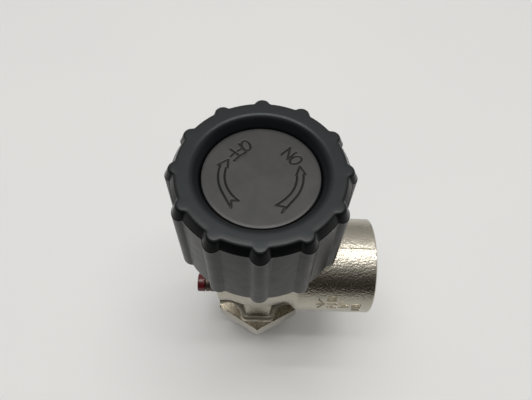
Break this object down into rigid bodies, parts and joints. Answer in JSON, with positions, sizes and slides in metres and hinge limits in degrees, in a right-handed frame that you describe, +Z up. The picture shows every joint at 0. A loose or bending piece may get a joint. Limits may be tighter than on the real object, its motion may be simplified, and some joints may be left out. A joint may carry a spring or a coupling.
{
  "type": "seacock valve",
  "caption": "Screw-down angle valve in nickel-plated brass: ribbed black handwheel on top, threaded side outlet, hexagon and male threaded inlet below, capped drain plug.",
  "frame": {"origin": "centre of the handwheel's flat cap face, on the stem axis", "axes": "+Z up along the stem and inlet axis, out of the handwheel; +X along the side outlet, out of its mouth"},
  "size_m": [0.0639, 0.0506, 0.1046],
  "materials": {
    "nickel_brass": "forged brass with warm nickel plating, slightly orange-peeled, bright on machined faces",
    "bare_brass": "turned brass, satin",
    "stainless_steel": "turned stainless steel",
    "black_plastic": "moulded black glass-filled nylon, satin with a fine grain",
    "grey_plastic": "smooth grey-brown moulded disc with engraved outlines",
    "red_plastic": "soft moulded red cap",
    "seal_rubber": "black nitrile rubber",
    "white_plastic": "machined white PTFE or acetal"
  },
  "bodies": {
    "body": {"valve_body": "nickel_brass", "bonnet": "bare_brass", "bonnet_o_ring": "seal_rubber", "stem_bush": "white_plastic", "upper_thrust_washer": "white_plastic", "lower_thrust_washer": "white_plastic", "neck_o_ring": "seal_rubber", "drain_plug": "bare_brass", "drain_plug_seal": "seal_rubber", "drain_plug_cap": "red_plastic"},
    "handwheel": {"handwheel": "black_plastic", "handwheel_insert": "bare_brass", "handwheel_cap": "grey_plastic", "handwheel_spring": "stainless_steel", "handwheel_washer": "stainless_steel", "handwheel_nut": "stainless_steel", "stem": "bare_brass", "upper_stem_o_ring": "seal_rubber", "lower_stem_o_ring": "seal_rubber"},
    "valve_disc": {"disc_holder": "bare_brass", "disc_clip": "stainless_steel", "seat_washer": "white_plastic", "seat_retainer": "stainless_steel", "seat_screw": "stainless_steel"},
    "lower_spindle": {"lower_spindle": "bare_brass"}
  },
  "joints": [
    {"name": "handwheel_turn", "type": "hinge", "parent": "body", "child": "handwheel", "pos_m": [0, 0, 0], "axis": [0, 0, 1], "range_deg": [0, 720]},
    {"name": "disc_lift", "type": "slide", "parent": "body", "child": "valve_disc", "axis": [0, 0, 1], "range_m": [0, 0.004]},
    {"name": "lower_spindle_turn", "type": "hinge", "parent": "valve_disc", "child": "lower_spindle", "pos_m": [0, 0, -0.055], "axis": [0, 0, 1], "range_deg": [0, 720]}
  ],
  "couplings": [
    {"joint": "disc_lift", "follows": "handwheel_turn", "m_per_rad": 0.00031831},
    {"joint": "lower_spindle_turn", "follows": "handwheel_turn", "ratio": 1}
  ]
}
